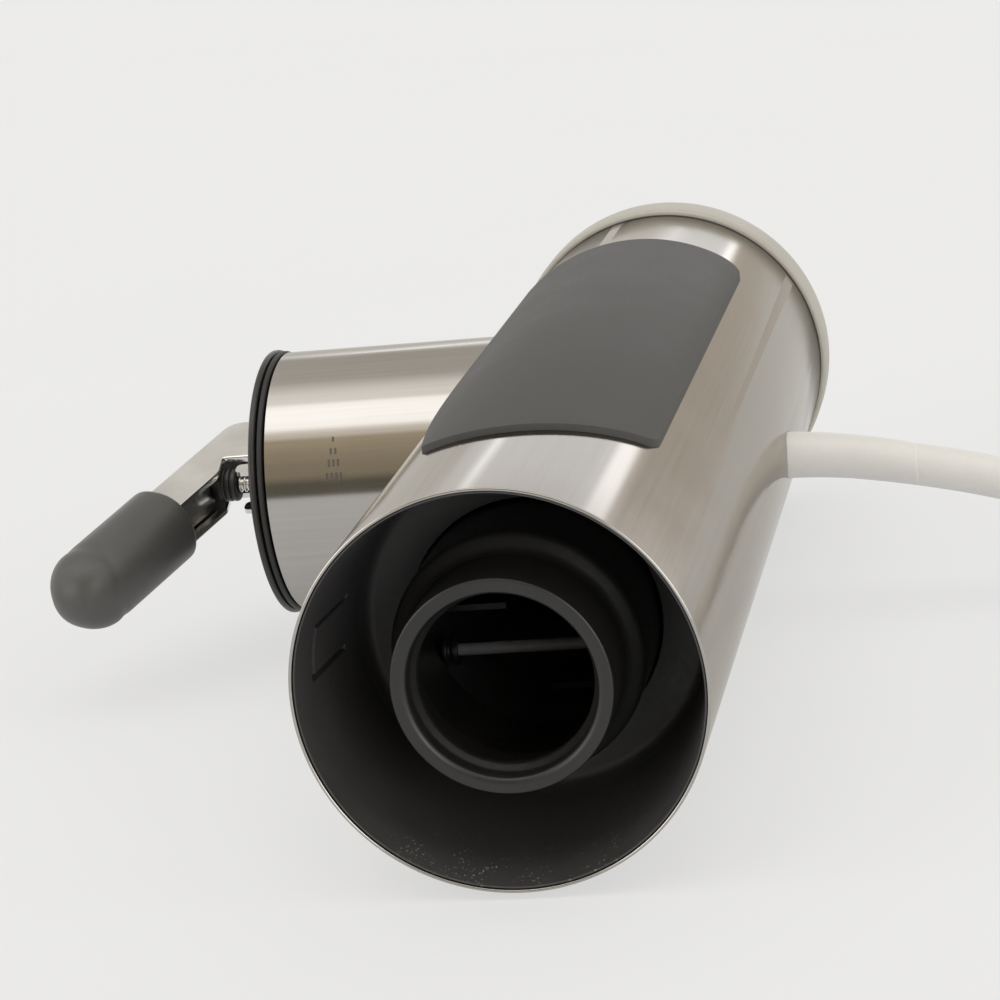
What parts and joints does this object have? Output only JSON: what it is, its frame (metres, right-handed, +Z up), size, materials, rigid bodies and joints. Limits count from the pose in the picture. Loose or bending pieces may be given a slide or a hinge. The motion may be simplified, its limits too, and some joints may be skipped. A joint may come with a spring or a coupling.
{
  "type": "rotary cheese grater",
  "caption": "Hand-held rotary cheese grater: steel barrel with front outlet, side feed tube with press lever, rubber grip pad, ivory end cap and mains cord.",
  "frame": {"origin": "centre of the flat back face of the ivory end cap, on the barrel's axis", "axes": "+Y along the barrel, out of the end cap's flat face, so the open front of the barrel is towards -Y; -X along the side feed tube towards its press lever; +Z up, on the side of the rubber grip pad, when the grater lies on a table"},
  "size_m": [0.3284, 0.2386, 0.0645],
  "materials": {
    "brushed_steel": "brushed round the tube, satin",
    "bright_steel": "polished",
    "black_plastic": "moulded, satin",
    "grey_plastic": "moulded, satin",
    "brass": "machined",
    "rubber": "matt, finely grained",
    "ivory_plastic": "moulded, satin",
    "cord_sheath": "smooth soft PVC"
  },
  "bodies": {
    "housing": {"barrel_tube": "brushed_steel", "front_liner": "black_plastic", "outlet_collar": "black_plastic", "outlet_duct": "black_plastic", "cross_rod": "bright_steel", "rod_bush_left": "grey_plastic", "rod_bush_right": "grey_plastic", "guide_plate_left": "grey_plastic", "guide_plate_right": "grey_plastic", "drum_chamber": "black_plastic", "front_bearing_plate": "grey_plastic", "shaft_bush": "brass", "idler_pin": "bright_steel", "rear_gear_plate": "grey_plastic", "motor_can": "brushed_steel", "motor_mount_ring": "rubber", "motor_screw_1": "bright_steel", "motor_screw_2": "bright_steel", "side_tube": "brushed_steel", "hopper_liner": "black_plastic", "grip_pad": "rubber", "cord_gland": "ivory_plastic", "terminal_block": "ivory_plastic", "power_switch": "grey_plastic", "cord": "cord_sheath", "cord_coil": "cord_sheath", "cord_tail": "cord_sheath", "plug_body": "ivory_plastic", "plug_pin_front": "brass", "plug_pin_back": "brass"},
    "drum": {"grating_drum": "brushed_steel", "drum_hub": "black_plastic", "drive_shaft": "bright_steel", "drum_nut": "brass", "output_gear": "brass"},
    "idler": {"idler_gear": "grey_plastic"},
    "rotor": {"motor_shaft": "bright_steel", "motor_pinion": "brass"},
    "lid": {"side_lid": "black_plastic", "side_gasket": "rubber", "lever_yoke": "bright_steel", "lever_pin": "bright_steel"},
    "lever": {"lever_channel": "bright_steel", "lever_grip": "rubber", "lever_stiffener": "bright_steel"},
    "pusher": {"pusher": "ivory_plastic", "pusher_rod": "bright_steel", "rod_nut": "bright_steel", "rod_head": "black_plastic"},
    "cap": {"end_cap": "ivory_plastic", "cap_seal": "rubber"}
  },
  "joints": [
    {"name": "drum_spin", "type": "hinge", "parent": "housing", "child": "drum", "pos_m": [0, -0.0855, 0], "axis": [0, 1, 0], "continuous": true},
    {"name": "idler_spin", "type": "hinge", "parent": "housing", "child": "idler", "pos_m": [0, -0.0475, 0.016], "axis": [0, 1, 0], "continuous": true},
    {"name": "rotor_spin", "type": "hinge", "parent": "housing", "child": "rotor", "pos_m": [0, -0.0445, 0], "axis": [0, 1, 0], "continuous": true},
    {"name": "lid_pull", "type": "slide", "parent": "housing", "child": "lid", "axis": [-1, 0, 0], "range_m": [0, 0.045]},
    {"name": "lever_press", "type": "hinge", "parent": "lid", "child": "lever", "pos_m": [-0.0685, -0.07777, 0.00193], "axis": [0, -0.2756, 0.9613], "range_deg": [-25, 15]},
    {"name": "pusher_push", "type": "slide", "parent": "lid", "child": "pusher", "axis": [1, 0, 0], "range_m": [-0.0029, 0.0018]},
    {"name": "cap_pull", "type": "slide", "parent": "housing", "child": "cap", "axis": [0, 1, 0], "range_m": [0, 0.03]}
  ],
  "couplings": [
    {"joint": "idler_spin", "follows": "drum_spin", "ratio": -3},
    {"joint": "rotor_spin", "follows": "drum_spin", "ratio": 9},
    {"joint": "pusher_push", "follows": "lever_press", "m_per_rad": 0.0065}
  ]
}
